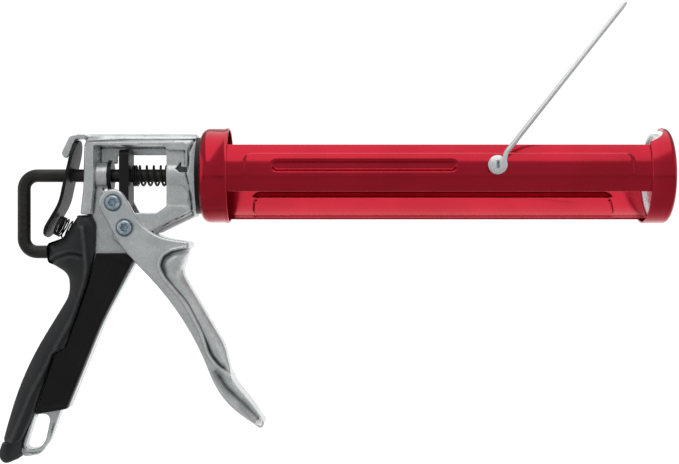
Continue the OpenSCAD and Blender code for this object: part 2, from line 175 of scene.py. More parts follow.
# This pointiness mask drives real edge wear on steel, painted highlights on edges and painted shade
# in creases.
def edge_wear_and_painted_light(tree, low=0.52, high=0.6):
    """0 on flat ground, 1 on outer edges, or in creases where low is above high."""
    geometry_node = tree.nodes.new("ShaderNodeNewGeometry")
    return remap(tree, geometry_node.outputs["Pointiness"], 0, 1, low, high)


def bump(tree, shader, layers):
    """Stacks (height socket, depth in mm) layers into the shader's normal."""
    normal = None
    for height, depth in layers:
        node = tree.nodes.new("ShaderNodeBump")
        node.inputs["Distance"].default_value = depth * MM
        tree.links.new(height, node.inputs["Height"])
        if normal is not None:
            tree.links.new(normal, node.inputs["Normal"])
        normal = node.outputs["Normal"]
    tree.links.new(normal, shader.inputs["Normal"])


def cast_aluminium():
    """Tumbled die-cast aluminium: satin and mottled; its edges brighter, partly worn and partly a
    painted highlight, its creases darkened with painted shade.
    """
    material, tree, shader = new_material("cast_aluminium", (0.78, 0.81, 0.81), 0.32, 0.62)
    vector = coordinates(tree)
    mottle = noise(tree, vector, 9, 5)
    grain = noise(tree, vector, 0.5, 3)
    pits = noise(tree, vector, 1.6, 4, 0.4)
    colour = ramp(tree, mottle, [(0.3, (0.74, 0.78, 0.78)), (0.7, (0.92, 0.96, 0.95))])
    colour = mix(tree, remap(tree, pits, 0.0, 0.22), colour, (0.34, 0.36, 0.37))
    # Painted shade: creases and hollows darkened to near black.
    colour = mix(tree, edge_wear_and_painted_light(tree, 0.494, 0.452), colour, (0.1, 0.105, 0.11))
    # Edges lightened: partly wear, partly a painted highlight.
    colour = mix(tree, edge_wear_and_painted_light(tree, 0.515, 0.58), colour, (0.95, 0.96, 0.97))
    tree.links.new(colour, shader.inputs["Base Color"])
    tree.links.new(remap(tree, mottle, 0.2, 0.36), shader.inputs["Roughness"])
    bump(tree, shader, [(mottle, 0.25), (pits, 0.08), (grain, 0.03)])
    return material


def red_enamel():
    """Glossy candy red: a tinted metallic coat under a thin clear one, slight orange peel."""
    material, tree, shader = new_material("red_enamel", (0.54, 0.005, 0.024), 0.2, 0.8)
    vector = coordinates(tree)
    peel = noise(tree, vector, 2.2, 2)
    cloud = noise(tree, vector, 30, 2)
    dust = noise(tree, vector, 0.35, 2)
    colour = ramp(tree, cloud, [(0.3, (0.49, 0.003, 0.02)), (0.7, (0.58, 0.006, 0.028))])
    # Painted highlight: outer edges lighter red.
    colour = mix(tree, edge_wear_and_painted_light(tree, 0.54, 0.64), colour, (0.8, 0.06, 0.09))
    tree.links.new(colour, shader.inputs["Base Color"])
    tree.links.new(remap(tree, dust, 0.14, 0.2), shader.inputs["Roughness"])
    shader.inputs["Coat Weight"].default_value = 0.25
    shader.inputs["Coat Roughness"].default_value = 0.06
    bump(tree, shader, [(peel, 0.006)])
    return material


def soft_rubber():
    """Matt soft-touch rubber with a fine spark-eroded grain."""
    material, tree, shader = new_material("soft_rubber", (0.022, 0.023, 0.025), 0.6)
    vector = coordinates(tree)
    grain = noise(tree, vector, 0.45, 2)
    patch = noise(tree, vector, 14, 3)
    colour = ramp(tree, patch, [(0.3, (0.013, 0.0145, 0.015)), (0.7, (0.022, 0.024, 0.025))])
    # Painted highlight: outer edges and ridges lighter grey.
    colour = mix(tree, edge_wear_and_painted_light(tree, 0.51, 0.57), colour, (0.1, 0.104, 0.108))
    tree.links.new(colour, shader.inputs["Base Color"])
    tree.links.new(remap(tree, grain, 0.5, 0.68), shader.inputs["Roughness"])
    bump(tree, shader, [(grain, 0.06), (patch, 0.05)])
    return material


def hard_plastic():
    """Satin black moulded plastic."""
    material, tree, shader = new_material("hard_plastic", (0.012, 0.012, 0.013), 0.38)
    shader.inputs["Specular IOR Level"].default_value = 0.3
    vector = coordinates(tree)
    grain = noise(tree, vector, 0.8, 3)
    patch = noise(tree, vector, 20, 2)
    colour = ramp(tree, patch, [(0.3, (0.004, 0.004, 0.0045)), (0.7, (0.009, 0.009, 0.0095))])
    tree.links.new(colour, shader.inputs["Base Color"])
    tree.links.new(remap(tree, grain, 0.32, 0.46), shader.inputs["Roughness"])
    bump(tree, shader, [(grain, 0.02)])
    return material


def oiled_steel(name, base, light, roughness, metallic, worn=(0.09, 0.088, 0.08), gloss=0.5):
    """Black phosphated steel, oily, rubbed lighter in streaks along the gun."""
    material, tree, shader = new_material(name, base, roughness, metallic)
    shader.inputs["Specular IOR Level"].default_value = gloss
    vector = coordinates(tree)
    streak = noise(tree, coordinates(tree, (0.12, 1, 1)), 1.2, 4)
    pits = noise(tree, vector, 0.6, 4)
    colour = ramp(tree, streak, [(0.35, base), (0.75, light)])
    colour = mix(tree, edge_wear_and_painted_light(tree, 0.54, 0.66), colour, worn)
    tree.links.new(colour, shader.inputs["Base Color"])
    tree.links.new(
        remap(tree, pits, roughness - 0.08, roughness + 0.12), shader.inputs["Roughness"]
    )
    bump(tree, shader, [(pits, 0.03)])
    return material


def zinc_plate(name, low, high, metallic, grain_depth):
    """Bright zinc with a faint blue passivation."""
    material, tree, shader = new_material(name, high, 0.24, metallic)
    vector = coordinates(tree)
    cloud = noise(tree, vector, 3, 3)
    grain = noise(tree, vector, 0.4, 2)
    colour = ramp(tree, cloud, [(0.3, low), (0.7, high)])
    tree.links.new(colour, shader.inputs["Base Color"])
    tree.links.new(remap(tree, cloud, 0.18, 0.34), shader.inputs["Roughness"])
    bump(tree, shader, [(grain, grain_depth)])
    return material


ALUMINIUM = cast_aluminium()
RED = red_enamel()
RUBBER = soft_rubber()
PLASTIC = hard_plastic()
ROD_STEEL = oiled_steel("rod_steel", (0.018, 0.017, 0.013), (0.045, 0.042, 0.034), 0.36, 0.3)
PLATE_STEEL = oiled_steel(
    "plate_steel", (0.006, 0.006, 0.006), (0.014, 0.014, 0.013), 0.46, 0.0,
    (0.018, 0.018, 0.017), 0.25,
)
SPRING_STEEL = oiled_steel(
    "spring_steel", (0.004, 0.004, 0.004), (0.011, 0.011, 0.01), 0.4, 0.0,
    (0.012, 0.012, 0.011), 0.35,
)
ZINC = zinc_plate("zinc_plate", (0.36, 0.5, 0.6), (0.8, 0.87, 0.91), 0.9, 0.006)
WIRE_ZINC = zinc_plate("wire_zinc", (0.86, 0.88, 0.88), (0.94, 0.95, 0.95), 0.45, 0.002)


# ---------------------------------------------------------------- mesh tools

def make_piece(name, vertices, faces, replaced, material, slot, smooth_angle=38):
    """A mesh piece in millimetres that stands for CAD nodes and rides on their body."""
    mesh = bpy.data.meshes.new(name)
    mesh.from_pydata((np.asarray(vertices, float) * MM).tolist(), [], faces)
    piece = bpy.data.objects.new(name, mesh)
    bpy.context.scene.collection.objects.link(piece)
    tidy(piece)
    dress(piece, replaced, material, smooth_angle)
    return piece


def dress(piece, replaced, material, smooth_angle=38):
    """Shading, material and place in the frame for a finished piece."""
    shade(piece, smooth_angle)
    piece.data.materials.clear()
    piece.data.materials.append(material)
    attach(piece, BODY_OF[replaced[0]])
    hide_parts(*replaced)


def tidy(piece):
    """Doubled points merged and the normals turned outward."""
    bm = bmesh.new()
    bm.from_mesh(piece.data)
    bmesh.ops.remove_doubles(bm, verts=bm.verts, dist=WELD)
    bmesh.ops.recalc_face_normals(bm, faces=bm.faces)
    bm.to_mesh(piece.data)
    bm.free()


def shade(piece, smooth_angle):
    """Smooth faces, with edges sharper than the angle kept hard."""
    bm = bmesh.new()
    bm.from_mesh(piece.data)
    limit = math.radians(smooth_angle)
    for face in bm.faces:
        face.smooth = True
    for edge in bm.edges:
        edge.smooth = not (len(edge.link_faces) == 2 and edge.calc_face_angle(0) > limit)
    bm.to_mesh(piece.data)
    bm.free()


def loft(loops, capped=True, ring=False):
    """Vertices and faces that join loops of the same number of points."""
    count = len(loops[0])
    vertices = np.concatenate([np.asarray(loop, float) for loop in loops])
    faces = []
    rows = len(loops) if ring else len(loops) - 1
    for i in range(rows):
        for j in range(count):
            row, next_row = i * count, ((i + 1) % len(loops)) * count
            k = (j + 1) % count
            faces.append((row + j, row + k, next_row + k, next_row + j))
    if capped and not ring:
        faces.append(tuple(range(count))[::-1])
        faces.append(tuple(range((len(loops) - 1) * count, len(loops) * count)))
    return vertices, faces


def unit(v):
    """The vector at length one."""
    return v / np.linalg.norm(v)


def corner_arc(p, q, r, radius, steps):
    """The arc that rounds corner q between neighbours p and r."""
    u, v = unit(p - q), unit(r - q)
    half = math.acos(max(-1, min(1, float(u @ v)))) / 2
    middle = q + unit(u + v) * radius / math.sin(half)
    start = q + u * radius / math.tan(half) - middle
    end = q + v * radius / math.tan(half) - middle
    first = math.atan2(start[1], start[0])
    sweep = math.atan2(end[1], end[0]) - first
    sweep = (sweep + math.pi) % (2 * math.pi) - math.pi
    angles = first + sweep * np.linspace(0, 1, steps + 1)
    return [middle + radius * np.array([math.cos(a), math.sin(a)]) for a in angles]


def rounded(corners, steps=8):
    """An outline of [x, z, radius] corners with arcs in place of the corners."""
    count = len(corners)
    points = []
    for i, (x, z, radius) in enumerate(corners):
        p = np.array(corners[i - 1][:2], float)
        r = np.array(corners[(i + 1) % count][:2], float)
        q = np.array([x, z], float)
        points += corner_arc(p, q, r, radius, steps) if radius > 0 else [q]
    return np.array(points)


def resample(points, spacing, closed=True):
    """Points along a line at most `spacing` apart, keeping the line's own points."""
    points = np.asarray(points, float)
    ends = np.roll(points, -1, axis=0) if closed else points[1:]
    starts = points if closed else points[:-1]
    out = []
    for a, b in zip(starts, ends):
        n = max(1, math.ceil(np.linalg.norm(b - a) / spacing))
        out += [a + (b - a) * i / n for i in range(n)]
    if not closed:
        out.append(points[-1])
    return np.array(out)


def distance_to_line(points, line, closed=False):
    """Distance from each point to a polyline, in the side view."""
    line = np.asarray(line, float)
    starts = line if closed else line[:-1]
    ends = np.roll(line, -1, axis=0) if closed else line[1:]
    best = np.full(len(points), 1e9)
    for a, b in zip(starts, ends):
        d = b - a
        t = np.clip(((points - a) @ d) / max(d @ d, 1e-12), 0, 1)
        best = np.minimum(best, np.linalg.norm(points - (a + t[:, None] * d), axis=1))
    return best


def inside(points, outline):
    """Which points lie inside a closed outline."""
    x, z = points[:, 0], points[:, 1]
    result = np.zeros(len(points), bool)
    for a, b in zip(outline, np.roll(outline, -1, axis=0)):
        crosses = (a[1] > z) != (b[1] > z)
        with np.errstate(divide="ignore", invalid="ignore"):
            at = (b[0] - a[0]) * (z - a[1]) / (b[1] - a[1]) + a[0]
        result ^= crosses & (x < at)
    return result


def step(value, low, high):
    """A smooth step from 0 at low to 1 at high."""
    t = np.clip((value - low) / (high - low), 0, 1)
    return t * t * (3 - 2 * t)


def round_edge(distance, radius, depth=None):
    """How far a surface falls at this distance from an edge rounded to radius."""
    depth = radius if depth is None else depth
    t = np.clip(1 - distance / radius, 0, 1)
    return depth * (1 - np.sqrt(1 - t * t))


def relief(outline, half_width, spacing=1.0, rings=(0.2, 0.5, 0.9), creases=()):
    """A solid seen from the side as outline, with half_width(points) across at each point.

    Rings of points follow the outline at those depths, and creases are lines that the
    triangles follow, so that ridges stay crisp.
    """
    edge = resample(outline, spacing * 0.8)
    tangent = np.roll(edge, -1, axis=0) - np.roll(edge, 1, axis=0)
    tangent /= np.linalg.norm(tangent, axis=1)[:, None]
    area = np.sum(edge[:, 0] * np.roll(edge[:, 1], -1) - np.roll(edge[:, 0], -1) * edge[:, 1])
    normal = np.stack([-tangent[:, 1], tangent[:, 0]], 1) * (1 if area > 0 else -1)
    inner = []
    for depth in rings:
        ring = edge + normal * depth
        keep = inside(ring, edge) & (distance_to_line(ring, edge, True) > 0.93 * depth)
        inner.append(ring[keep])
    low, high = edge.min(0), edge.max(0)
    rows = np.arange(low[1], high[1], spacing * 0.866)
    grid = np.array([
        (x + (i % 2) * spacing / 2, z)
        for i, z in enumerate(rows)
        for x in np.arange(low[0], high[0], spacing)
    ])
    grid = grid[inside(grid, edge)]
    grid = grid[distance_to_line(grid, edge, True) > rings[-1] + 0.5 * spacing]
    crease_points = []
    for line in creases:
        line = resample(line, spacing * 0.7, closed=False)
        line = line[inside(line, edge) & (distance_to_line(line, edge, True) > 0.6 * spacing)]
        grid = grid[distance_to_line(grid, line) > 0.45 * spacing]
        crease_points.append(line)
    points = np.concatenate([edge, *inner, *crease_points, grid])
    links = [(i, (i + 1) % len(edge)) for i in range(len(edge))]
    made = geometry.delaunay_2d_cdt([Vector(p) for p in points], links, [], 0, 1e-4)
    flat = np.array([tuple(v) for v in made[0]])
    triangles = np.array([f for f in made[2] if len(f) == 3])
    triangles = triangles[inside(flat[triangles].mean(1), edge)]
    half = half_width(flat)
    near = np.stack([flat[:, 0], -half, flat[:, 1]], 1)
    far = near * [1, -1, 1]
    count = len(flat)
    faces = [tuple(int(i) for i in t) for t in triangles]
    faces += [tuple(int(i) + count for i in t[::-1]) for t in triangles]
    seen = {}
    for t in triangles:
        for a, b in ((t[0], t[1]), (t[1], t[2]), (t[2], t[0])):
            key = (min(a, b), max(a, b))
            seen[key] = None if key in seen else (int(a), int(b))
    for pair in seen.values():
        if pair is not None:
            a, b = pair
            faces.append((b, a, a + count, b + count))
    return np.concatenate([near, far]), faces


def cut(piece, tools):
    """Cuts tool meshes (vertices, faces) out of a piece."""
    for vertices, faces in tools:
        mesh = bpy.data.meshes.new("tool")
        mesh.from_pydata((np.asarray(vertices, float) * MM).tolist(), [], faces)
        tool = bpy.data.objects.new("tool", mesh)
        bpy.context.scene.collection.objects.link(tool)
        tidy(tool)
        modifier = piece.modifiers.new("cut", "BOOLEAN")
        modifier.operation = "DIFFERENCE"
        modifier.solver = "EXACT"
        modifier.object = tool
        apply_modifiers(piece)
        bpy.data.objects.remove(tool)


def apply_modifiers(piece):
    """Replaces the piece's mesh by its evaluated mesh."""
    bpy.context.view_layer.update()
    evaluated = piece.evaluated_get(bpy.context.evaluated_depsgraph_get())
    mesh = bpy.data.meshes.new_from_object(evaluated)
    piece.modifiers.clear()
    piece.data = mesh


def prism(outline, low_y, high_y):
    """A side-view outline given a width from low_y to high_y."""
    outline = np.asarray(outline, float)
    loops = [
        np.stack([outline[:, 0], np.full(len(outline), y), outline[:, 1]], 1)
        for y in (low_y, high_y)
    ]
    return loft(loops)


def turned(profile, segments=96):
    """A solid turned about the rod's axis from a closed profile of (x, radius)."""
    angles = np.linspace(0, 2 * math.pi, segments, endpoint=False)
    loops = [
        [(x, -r * math.cos(a), r * math.sin(a)) for x, r in profile] for a in angles
    ]
    return loft(loops, ring=True)


def cross_turned(x, z, profile, segments=48):
    """A solid turned about a pin across the gun, from (y, radius) stations."""
    angles = np.linspace(0, 2 * math.pi, segments, endpoint=False)
    return loft([
        [(x + r * math.cos(a), y, z + r * math.sin(a)) for a in angles] for y, r in profile
    ])


def tube(path, radius, sides=14):
    """A round bar that follows a path of points."""
    path = np.asarray(path, float)
    tangent = np.gradient(path, axis=0)
    tangent /= np.linalg.norm(tangent, axis=1)[:, None]
    side = unit(np.cross(tangent[0], [0.3, 0.9, 0.31]))
    loops = []
    angles = np.linspace(0, 2 * math.pi, sides, endpoint=False)
    for point, along in zip(path, tangent):
        side = unit(side - along * (side @ along))
        other = np.cross(along, side)
        loops.append([
            point + radius * (side * math.cos(a) + other * math.sin(a)) for a in angles
        ])
    return loft(loops)


def casting_from(node, name, extras, tools, voxel, keep):
    """A cast piece: the CAD solid with extra lumps and cuts, its corners melted round."""
    source = NODES[node]
    piece = bpy.data.objects.new(name, source.data.copy())
    bpy.context.scene.collection.objects.link(piece)
    normals = piece.data.attributes.get("custom_normal")
    if normals:
        piece.data.attributes.remove(normals)
    bm = bmesh.new()
    bm.from_mesh(piece.data)
    bmesh.ops.remove_doubles(bm, verts=bm.verts, dist=WELD)
    for vertices, faces in extras:
        added = [bm.verts.new(Vector(v) * MM) for v in vertices]
        for face in faces:
            bm.faces.new([added[i] for i in face])
    bmesh.ops.recalc_face_normals(bm, faces=bm.faces)
    bm.to_mesh(piece.data)
    bm.free()
    modifier = piece.modifiers.new("melt", "REMESH")
    modifier.mode = "VOXEL"
    modifier.voxel_size = voxel * MM
    apply_modifiers(piece)
    cut(piece, tools)
    modifier = piece.modifiers.new("soften", "SMOOTH")
    modifier.factor = 0.5
    modifier.iterations = 4
    apply_modifiers(piece)
    modifier = piece.modifiers.new("thin", "DECIMATE")
    modifier.ratio = keep
    apply_modifiers(piece)
    return piece


def vertices_mm(piece):
    """The mesh's points, in millimetres."""
    count = len(piece.data.vertices)
    flat = np.empty(count * 3, np.float32)
    piece.data.vertices.foreach_get("co", flat)
    return flat.reshape(count, 3).astype(float) / MM


def set_vertices_mm(piece, vertices):
    """Move the mesh's points to these, given in millimetres."""
    piece.data.vertices.foreach_set("co", (vertices * MM).astype(np.float32).ravel())
    piece.data.update()


# ---------------------------------------------------------------- cradle

SIDE_ANGLE = 9
BACK_ANGLE = 227
HALF_ANGLE = 31.2
PANEL_RADIUS = 26.3
PANEL_SHEET = 1.1
RIB = {"start": 24.4, "end": 243, "low": -8.3, "high": 8.3, "corner": 5.0, "height": 0.68}
BACK_RIB = {"start": 28, "end": 239, "low": -8.0, "high": 6.0, "corner": 4.0, "height": 1.15}
GROOVE = {"start": 39.6, "end": 144.3, "low": -3.3, "high": 4.1, "corner": 3.7, "depth": 2.3}


def depth_inside(x, s, shape):
    """How far a point lies inside a rectangle with round corners."""
    corner = shape["corner"]
    half_x, half_s = (shape["end"] - shape["start"]) / 2, (shape["high"] - shape["low"]) / 2
    over_x = np.abs(x - (shape["start"] + half_x)) - (half_x - corner)
    over_s = np.abs(s - (shape["low"] + half_s)) - (half_s - corner)
    outside = np.hypot(np.maximum(over_x, 0), np.maximum(over_s, 0))
    return corner - outside - np.minimum(np.maximum(over_x, over_s), 0)


def side_height(x, s):
    """The near panel: a raised rib with a deep groove for the wire."""
    rib = RIB["height"] * step(depth_inside(x, s, RIB), 0, 1.3)
    return rib - GROOVE["depth"] * step(depth_inside(x, s, GROOVE), -0.2, 2.3)


def back_height(x, s):
    """The far panel: its rib runs up to the panel's upper edge in one broad slope."""
    above = step(BACK_RIB["low"] - s, -1.0, 0.5)
    wall = 1.0 + 3.9 * above
    return BACK_RIB["height"] * step(depth_inside(x, s, BACK_RIB) / wall, -1, 0) - 0.45


def panel_stations(start, end):
    """Stations along the barrel, close together where the pressing ends."""
    fine = [(RIB["start"] - 2, RIB["start"] + 11), (RIB["end"] - 11, RIB["end"] + 2)]
    fine += [(GROOVE["start"] - 2, GROOVE["start"] + 6), (GROOVE["end"] - 6, GROOVE["end"] + 2)]
    x, stations = start, []
    while x < end:
        stations.append(x)
        x += 0.6 if any(a <= x <= b for a, b in fine) else 2.4
    return stations + [end]


def cradle_panel(node, middle, height_at, inset):
    """One pressed sheet of the cradle about the angle middle, its edges rolled round."""
    low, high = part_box(node)
    start, end = low.x / MM, high.x / MM
    reach = math.radians(HALF_ANGLE) * PANEL_RADIUS
    roll = PANEL_SHEET / 2
    s = np.linspace(-reach + roll, reach - roll, 84)
    turn = np.linspace(math.pi / 2, -math.pi / 2, 7)[1:-1]
    loops = []
    for x in panel_stations(start, end):
        height = height_at(x, s)
        outer = [(PANEL_RADIUS + h, a) for h, a in zip(height, s)]
        inner_height = height_at(x, s * inset)
        inner = [(PANEL_RADIUS - PANEL_SHEET + h, a) for h, a in zip(inner_height, s)][::-1]
        right = [
            (PANEL_RADIUS + height[-1] - roll + roll * math.sin(t), s[-1] + roll * math.cos(t))
            for t in turn
        ]
        left = [
            (PANEL_RADIUS + height[0] - roll + roll * math.sin(t), s[0] - roll * math.cos(t))
            for t in turn[::-1]
        ]
        loop = []
        for r, arc in outer + right + inner + left:
            a = math.radians(middle) + arc / PANEL_RADIUS
            loop.append((x, -r * math.cos(a), r * math.sin(a)))
        loops.append(loop)
    vertices, faces = loft(loops)
    make_piece(node + "_sheet", vertices, faces, [node], RED, "red_paint")


CAP_RADIUS = 27.5
CAP_SHEET = 1.1


def arc_points(centre, radius, start, end, steps):
    """Points of a section along an arc between two angles in degrees."""
    x, r = centre
    return [
        (x + radius * math.cos(math.radians(a)), r + radius * math.sin(math.radians(a)))
        for a in np.linspace(start, end, steps)
    ]


def rear_cap():
    """The rear cap: a pressed cup with a bore for the swivel sleeve."""
    low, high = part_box("cradle_rear_cap")
    back, mouth = low.x / MM, high.x / MM
    bend, bore = 5.2, 9.06
    body = CAP_RADIUS - 0.3
    profile = [(back, bore)]
    profile += arc_points((back + bend, body - bend), bend, 180, 90, 12)
    profile += [(mouth - 2.3, body), (mouth - 1.8, CAP_RADIUS), (mouth - 0.3, CAP_RADIUS)]
    profile += [(mouth, CAP_RADIUS - 0.3), (mouth, CAP_RADIUS - 0.8), (mouth - 0.3, 26.4)]
    profile += [(mouth - 2, 26.35), (back + bend, 26.3)]
    profile += arc_points((back + bend, 26.3 - 3.9), 3.9, 90, 180, 10)
    profile += [(back + CAP_SHEET, bore)]
    make_piece(
        "rear_cap_pressing", *turned(profile, 160), ["cradle_rear_cap"], RED, "red_paint"
    )


OPENING_ANGLE = 118
HORN = {"x": 247, "u": 22, "radius": 16.3}


def skirt_start(angle, mouth):
    """Where the front cap's skirt begins at this angle: cut back round the opening."""
    u = CAP_RADIUS * math.cos(math.radians(angle - OPENING_ANGLE))
    reach = HORN["radius"] ** 2 - (u - HORN["u"]) ** 2
    return max(mouth, HORN["x"] + math.sqrt(reach)) if reach > 0 else mouth


def front_cap():
    """The front cap: its skirt cut back, and its face slotted, at the loading opening."""
    low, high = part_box("cradle_front_cap")
    mouth, face = low.x / MM, high.x / MM
    bend = 2.8
    loops = []
    for angle in np.arange(0, 360, 1.5):
        start = min(skirt_start(angle, mouth), face - bend - 0.4)
        profile = [(start + 0.35, 26.45), (start, 26.8), (start, 27.15), (start + 0.35, CAP_RADIUS)]
        profile += arc_points((face - bend, CAP_RADIUS - bend), bend, 90, 0, 9)
        profile += [(face, 12.0), (face, 0.8), (face - CAP_SHEET, 0.8), (face - CAP_SHEET, 12.0)]
        profile += arc_points((face - bend, CAP_RADIUS - bend), bend - CAP_SHEET, 0, 90, 7)
        a = math.radians(angle)
        loops.append([(x, -r * math.cos(a), r * math.sin(a)) for x, r in profile])
    vertices, faces = loft(loops, ring=True)
    piece = make_piece(
        "front_cap_pressing", vertices, faces, ["cradle_front_cap"], RED, "red_paint"
    )
    half = 9
    lower_half = np.linspace(math.pi, 2 * math.pi, 25)
    circle = [(half * math.cos(a), half * math.sin(a)) for a in lower_half]
    slot = np.array(circle + [(half, 40), (-half, 40)])
    turn = math.radians(90 - OPENING_ANGLE)
    y = slot[:, 0] * math.cos(turn) - slot[:, 1] * math.sin(turn)
    z = slot[:, 0] * math.sin(turn) + slot[:, 1] * math.cos(turn)
    tool = loft([np.stack([np.full(len(y), x), y, z], 1) for x in (mouth - 5, face + 5)])
    cut(piece, [tool])
    dress(piece, ["cradle_front_cap"], RED)


cradle_panel("cradle_panel_side", SIDE_ANGLE, side_height, 1.1)
cradle_panel("cradle_panel_back", BACK_ANGLE, back_height, 1.0)
rear_cap()
front_cap()


# ---------------------------------------------------------------- castings

def wedge(side):
    """The bevel under one side of the lower bar, from its wide plate in to the thin flange."""
    ends = [((-7, -20.2), (-6.2, -22.2)), ((-28.8, -31.4), (-28.0, -33.2))]
    loops = []
    for (x, z), (low_x, low_z) in ends:
        loops.append([
            (x, side * 9.8, z), (x, side * 3.5, z + 1),
            (low_x, side * 3.5, low_z), (low_x, side * 4.9, low_z),
        ])
    return loft(loops)


FRAME_EDGE = rounded([[-69.5, -22.4, 0], [-67.8, -8, 0], [-67.2, 20.1, 5], [-4, 20.1, 0]])
FLANGE_CREASE = rounded([
    [-4.6, 19.5, 0], [-7.6, 13.1, 3], [-7.9, 5.0, 3], [-9.3, 0.8, 3], [-7.7, -5.3, 3],
    [-7.0, -12.5, 3], [-6.0, -20.4, 2], [-17.4, -26.4, 0], [-28.1, -32.4, 0],
])
SLOT_OUTLINE = rounded([
    [-96.8, -137.6, 2], [-87.2, -136.4, 3.6], [-91, -154, 10],
    [-94.8, -156.8, 3], [-102.9, -157.8, 2.5],
])
CORE_HALF = 4.5
CROWN_RADIUS = 20.8
CROWN_CENTRE = 3.2
CORNER = 5.0
CORNER_X = -62.2


def frame_casting():
    """The frame: its upper rear corner rounded, its edges eased and its creases sunk."""
    button = [(-10, 1.9), (-12.3, 1.9), (-12.7, 1.5), (-12.9, 0.7)]
    lumps = [cross_turned(-12.5, 16.4, button, 24)]
    lumps += [wedge(-1), wedge(1)]
    shoulder = [(-9.5, 20), (-4.4, 19), (-4.4, 15), (-6.6, 8.5), (-9.5, 5)]
    lumps += [prism(shoulder, -11.9, -6), prism(shoulder, 6, 11.9)]
    chin = [(-9.5, -9.8), (-6.9, -9.8), (-4.6, -17), (-4.6, -21.4), (-9.5, -18.9)]
    lumps += [prism(chin, -9.5, 9.5)]
    arrow = [(-12.3, 8.0), (-15.6, 3.5), (-13.4, 1.5), (-8.6, 1.5), (-8.6, 4.6), (-12.0, 4.8)]
    piece = casting_from("frame_casting", "frame_cast", lumps, [prism(arrow, -16, -7.9)], 0.5, 0.3)
    v = vertices_mm(piece)
    across = np.abs(v[:, 1])
    limit = 12 - round_edge(distance_to_line(v[:, [0, 2]], FRAME_EDGE), 2.4, 1.7)
    squeeze = (v[:, 2] > -23) & (v[:, 2] < 20.6) & (across > 9)
    across = np.where(squeeze, np.minimum(across, limit), across)
    crown = CROWN_CENTRE + np.sqrt(CROWN_RADIUS ** 2 - np.minimum(across, 13) ** 2)
    from_x, from_z = v[:, 0] - CORNER_X, v[:, 2] - (crown - CORNER)
    reach = np.maximum(np.hypot(from_x, from_z), 1e-6)
    outside = (from_x < 0) & (from_z > 0) & (reach > CORNER) & (across > 6.7)
    v[outside, 0] = CORNER_X + from_x[outside] * CORNER / reach[outside]
    v[outside, 2] = crown[outside] - CORNER + from_z[outside] * CORNER / reach[outside]
    side_view = v[:, [0, 2]]
    to_crease = distance_to_line(side_view, FLANGE_CREASE)
    groove = 1.1 * np.exp(-(to_crease / 0.65) ** 2) * (across > 8)
    to_slot = distance_to_line(side_view, SLOT_OUTLINE, True)
    low_part = (v[:, 2] < -130) & (across > CORE_HALF - 1.2)
    bead = 0.5 * np.exp(-((to_slot - 1.0) / 0.6) ** 2)
    bead -= 0.8 * np.exp(-((to_slot - 2.4) / 0.6) ** 2)
    v[:, 1] = np.sign(v[:, 1]) * (across - groove + np.where(low_part, bead, 0))
    set_vertices_mm(piece, v)
    dress(piece, ["frame_casting"], ALUMINIUM, 60)


TRIGGER_LIP = rounded([
    [-9.0, -40.9, 0], [-17.6, -42.8, 5], [-22.6, -45.9, 5], [-24.9, -51.4, 6], [-21.9, -58.3, 12],
    [-9.4, -72.6, 30], [-0.4, -89.8, 60], [3.6, -102.4, 20], [8.6, -108.9, 20], [18.0, -116.6, 0],
])
TRIGGER_FRONT = rounded([
    [-6.4, -38.3, 2], [-12.2, -55.8, 8], [12.4, -97.5, 30], [17, -117.4, 25],
    [29.8, -132.6, 60], [35.7, -141.9, 0],
])
TRIGGER_VALLEY = rounded([
    [8.0, -112, 0], [13.0, -120.6, 20], [23.0, -130.0, 40], [31.5, -138.6, 0],
])
TRIGGER_BACK_RIB = rounded([
    [-1.5, -101.0, 0], [5.9, -116.2, 30], [13.7, -126.4, 40], [23.4, -136.6, 40], [30.8, -141.9, 0],
])
TRIGGER_RIM = rounded([
    [-9, -37.9, 0], [-31.8, -34.5, 28], [-47.5, -5, 7.8], [-61.2, -12.9, 7.8],
    [-46.2, -40.9, 50], [-7.7, -81.7, 165], [10.3, -128.3, 50], [33.4, -144.3, 0],
])
SCREWS = [(-43.8, -30.0), (-50.4, -15.8)]


def trigger_half_width(points, half):
    """How wide the trigger stands at each point of its side view."""
    lip = distance_to_line(points, TRIGGER_LIP)
    front = distance_to_line(points, TRIGGER_FRONT)
    pad = np.concatenate([TRIGGER_LIP, TRIGGER_FRONT[TRIGGER_FRONT[:, 1] > -118][::-1]])
    on_pad = inside(points, pad) | ((front < 0.8) & (points[:, 1] > -117))
    into_pad = np.where(on_pad, lip, -lip)
    hook = step(points[:, 1], -66, -54)
    low = step(-points[:, 1], 88, 100)
    cheek = half - 0.6
    cheek += 0.6 * np.exp(-(lip / 0.75) ** 2) * step(front, 0.5, 3.0)
    cheek -= round_edge(distance_to_line(points, TRIGGER_RIM), 1.4, 1.2)
    for x, z in SCREWS:
        cheek -= 0.7 * step(5.2 - np.hypot(points[:, 0] - x, points[:, 1] - z), 0, 0.6)
    tail = step(-points[:, 1], 106, 116)
    cheek -= tail * 4.4 * np.exp(-(distance_to_line(points, TRIGGER_VALLEY) / 2.4) ** 2)
    rib = distance_to_line(points, TRIGGER_BACK_RIB)
    cheek += step(-points[:, 1], 100, 112) * 0.45 * np.exp(-(rib / 0.6) ** 2)
    cheek -= step(-points[:, 1], 114, 120) * round_edge(front, 4.0, 3.4)
    pad_half = 12.6 - round_edge(front, 9.5, 8.4)
    hollow = np.exp(-((into_pad - 1.2) / (1.5 + 0.9 * hook)) ** 2)
    pad_half -= (0.6 + 2.2 * hook + 1.6 * low) * hollow
    share = step(into_pad, 0.0, 1.0) * step(points[:, 1], -117, -109)
    return cheek * (1 - share) + np.minimum(pad_half, cheek) * share


